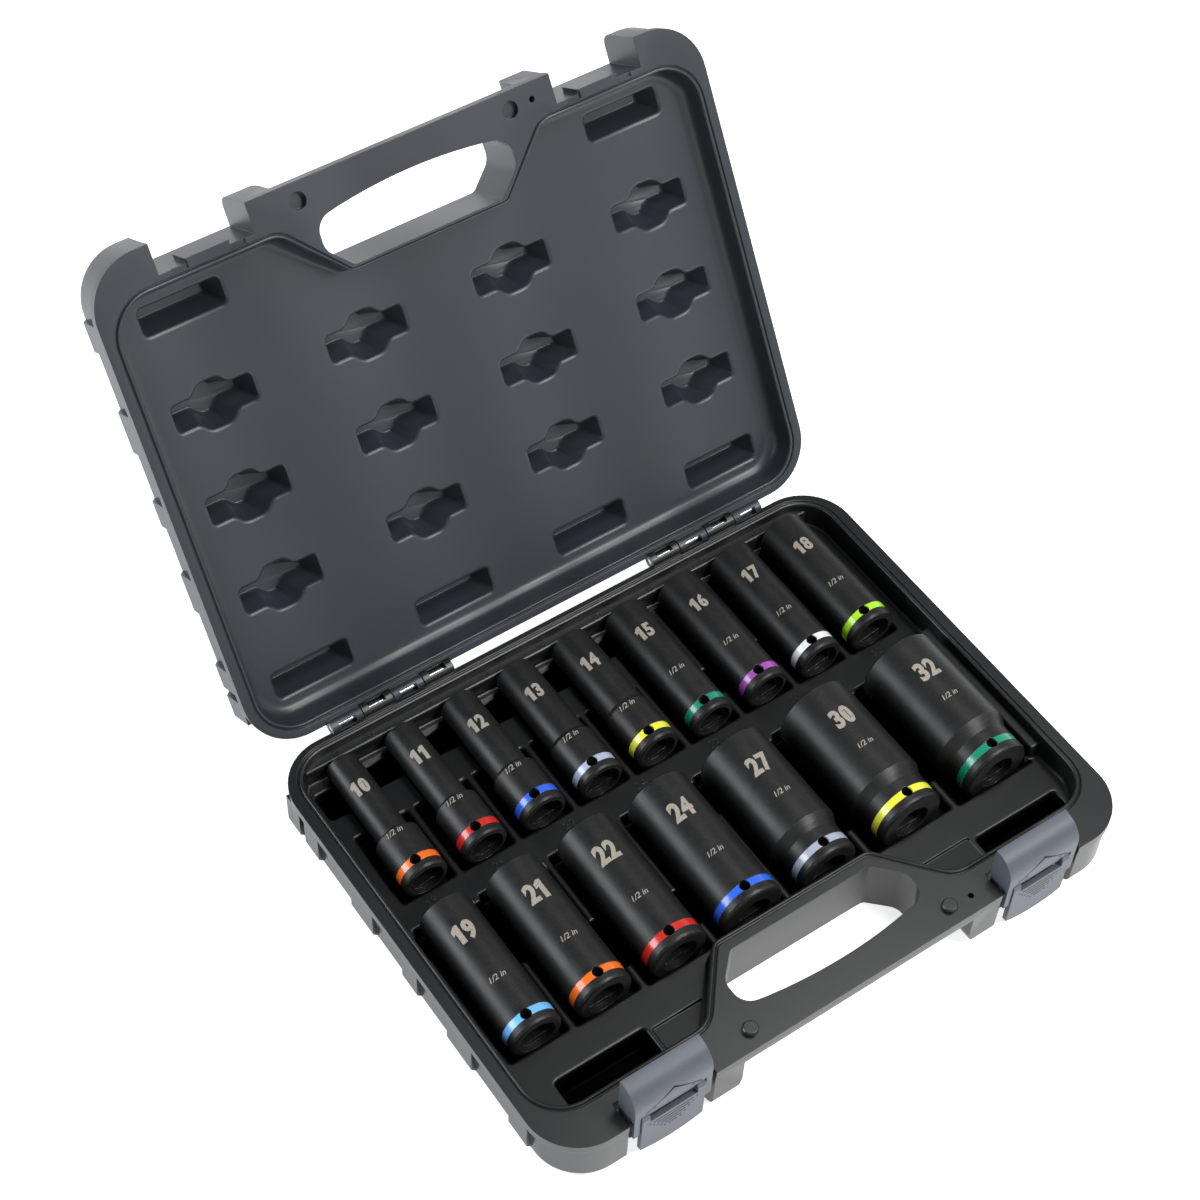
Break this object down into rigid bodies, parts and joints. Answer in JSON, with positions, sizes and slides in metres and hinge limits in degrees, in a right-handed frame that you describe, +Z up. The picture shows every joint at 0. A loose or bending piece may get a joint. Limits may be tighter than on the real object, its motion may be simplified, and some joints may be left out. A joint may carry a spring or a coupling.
{
  "type": "socket wrench set in case",
  "caption": "Deep impact sockets with square drives and coloured size rings, lying in two rows in a hinged blow-moulded carry case with a handle and two latches.",
  "frame": {"origin": "centre of the underside of the base, on the table", "axes": "+X to the right along the hinge, -Y towards the handle and latches, +Z up"},
  "size_m": [0.33, 0.4064, 0.2481],
  "materials": {
    "case_base": "blow-moulded plastic with a fine grain",
    "case_lid": "blow-moulded plastic with a fine grain, slightly paler",
    "latch": "satin injection-moulded plastic",
    "latch_bar": "satin",
    "pin_steel": "bright drawn wire",
    "socket_steel": "satin black phosphate",
    "ring_orange": "glossy",
    "ring_red": "glossy",
    "ring_blue": "glossy",
    "ring_lavender": "glossy",
    "ring_yellow": "glossy",
    "ring_green": "glossy",
    "ring_purple": "glossy",
    "ring_white": "glossy",
    "ring_lime": "glossy",
    "ring_sky": "glossy"
  },
  "bodies": {
    "base": {"base_case": "case_base", "hinge_pins": "pin_steel", "latch_pins": "pin_steel"},
    "lid": {"lid_case": "case_lid"},
    "latch_left": {"latch_hood_left": "latch", "latch_bar_left": "latch_bar"},
    "latch_right": {"latch_hood_right": "latch", "latch_bar_right": "latch_bar"},
    "flap_left": {"latch_flap_left": "latch"},
    "flap_right": {"latch_flap_right": "latch"},
    "socket_10": {"socket_10": "socket_steel", "ring_10": "ring_orange"},
    "socket_11": {"socket_11": "socket_steel", "ring_11": "ring_red"},
    "socket_12": {"socket_12": "socket_steel", "ring_12": "ring_blue"},
    "socket_13": {"socket_13": "socket_steel", "ring_13": "ring_lavender"},
    "socket_14": {"socket_14": "socket_steel", "ring_14": "ring_yellow"},
    "socket_15": {"socket_15": "socket_steel", "ring_15": "ring_green"},
    "socket_16": {"socket_16": "socket_steel", "ring_16": "ring_purple"},
    "socket_17": {"socket_17": "socket_steel", "ring_17": "ring_white"},
    "socket_18": {"socket_18": "socket_steel", "ring_18": "ring_lime"},
    "socket_19": {"socket_19": "socket_steel", "ring_19": "ring_sky"},
    "socket_21": {"socket_21": "socket_steel", "ring_21": "ring_orange"},
    "socket_22": {"socket_22": "socket_steel", "ring_22": "ring_red"},
    "socket_24": {"socket_24": "socket_steel", "ring_24": "ring_blue"},
    "socket_27": {"socket_27": "socket_steel", "ring_27": "ring_lavender"},
    "socket_30": {"socket_30": "socket_steel", "ring_30": "ring_yellow"},
    "socket_32": {"socket_32": "socket_steel", "ring_32": "ring_green"}
  },
  "joints": [
    {"name": "lid_hinge", "type": "hinge", "parent": "base", "child": "lid", "pos_m": [0, 0.12725, 0.0324], "axis": [-1, 0, 0], "range_deg": [-121.12, 0]},
    {"name": "latch_left_pivot", "type": "hinge", "parent": "base", "child": "latch_left", "pos_m": [-0.1056, -0.11825, 0.018], "axis": [1, 0, 0], "range_deg": [-3, 35]},
    {"name": "flap_left_pivot", "type": "hinge", "parent": "latch_left", "child": "flap_left", "pos_m": [-0.1056, -0.1218, 0.0305], "axis": [-1, 0, 0], "range_deg": [0, 40]},
    {"name": "latch_right_pivot", "type": "hinge", "parent": "base", "child": "latch_right", "pos_m": [0.1056, -0.11825, 0.018], "axis": [1, 0, 0], "range_deg": [-3, 35]},
    {"name": "flap_right_pivot", "type": "hinge", "parent": "latch_right", "child": "flap_right", "pos_m": [0.1056, -0.1218, 0.0305], "axis": [-1, 0, 0], "range_deg": [0, 40]},
    {"name": "socket_10_lift", "type": "slide", "parent": "base", "child": "socket_10", "axis": [0, 0, 1], "range_m": [0, 0.08]},
    {"name": "socket_11_lift", "type": "slide", "parent": "base", "child": "socket_11", "axis": [0, 0, 1], "range_m": [0, 0.08]},
    {"name": "socket_12_lift", "type": "slide", "parent": "base", "child": "socket_12", "axis": [0, 0, 1], "range_m": [0, 0.08]},
    {"name": "socket_13_lift", "type": "slide", "parent": "base", "child": "socket_13", "axis": [0, 0, 1], "range_m": [0, 0.08]},
    {"name": "socket_14_lift", "type": "slide", "parent": "base", "child": "socket_14", "axis": [0, 0, 1], "range_m": [0, 0.08]},
    {"name": "socket_15_lift", "type": "slide", "parent": "base", "child": "socket_15", "axis": [0, 0, 1], "range_m": [0, 0.08]},
    {"name": "socket_16_lift", "type": "slide", "parent": "base", "child": "socket_16", "axis": [0, 0, 1], "range_m": [0, 0.08]},
    {"name": "socket_17_lift", "type": "slide", "parent": "base", "child": "socket_17", "axis": [0, 0, 1], "range_m": [0, 0.08]},
    {"name": "socket_18_lift", "type": "slide", "parent": "base", "child": "socket_18", "axis": [0, 0, 1], "range_m": [0, 0.08]},
    {"name": "socket_19_lift", "type": "slide", "parent": "base", "child": "socket_19", "axis": [0, 0, 1], "range_m": [0, 0.08]},
    {"name": "socket_21_lift", "type": "slide", "parent": "base", "child": "socket_21", "axis": [0, 0, 1], "range_m": [0, 0.08]},
    {"name": "socket_22_lift", "type": "slide", "parent": "base", "child": "socket_22", "axis": [0, 0, 1], "range_m": [0, 0.08]},
    {"name": "socket_24_lift", "type": "slide", "parent": "base", "child": "socket_24", "axis": [0, 0, 1], "range_m": [0, 0.08]},
    {"name": "socket_27_lift", "type": "slide", "parent": "base", "child": "socket_27", "axis": [0, 0, 1], "range_m": [0, 0.08]},
    {"name": "socket_30_lift", "type": "slide", "parent": "base", "child": "socket_30", "axis": [0, 0, 1], "range_m": [0, 0.08]},
    {"name": "socket_32_lift", "type": "slide", "parent": "base", "child": "socket_32", "axis": [0, 0, 1], "range_m": [0, 0.08]}
  ]
}
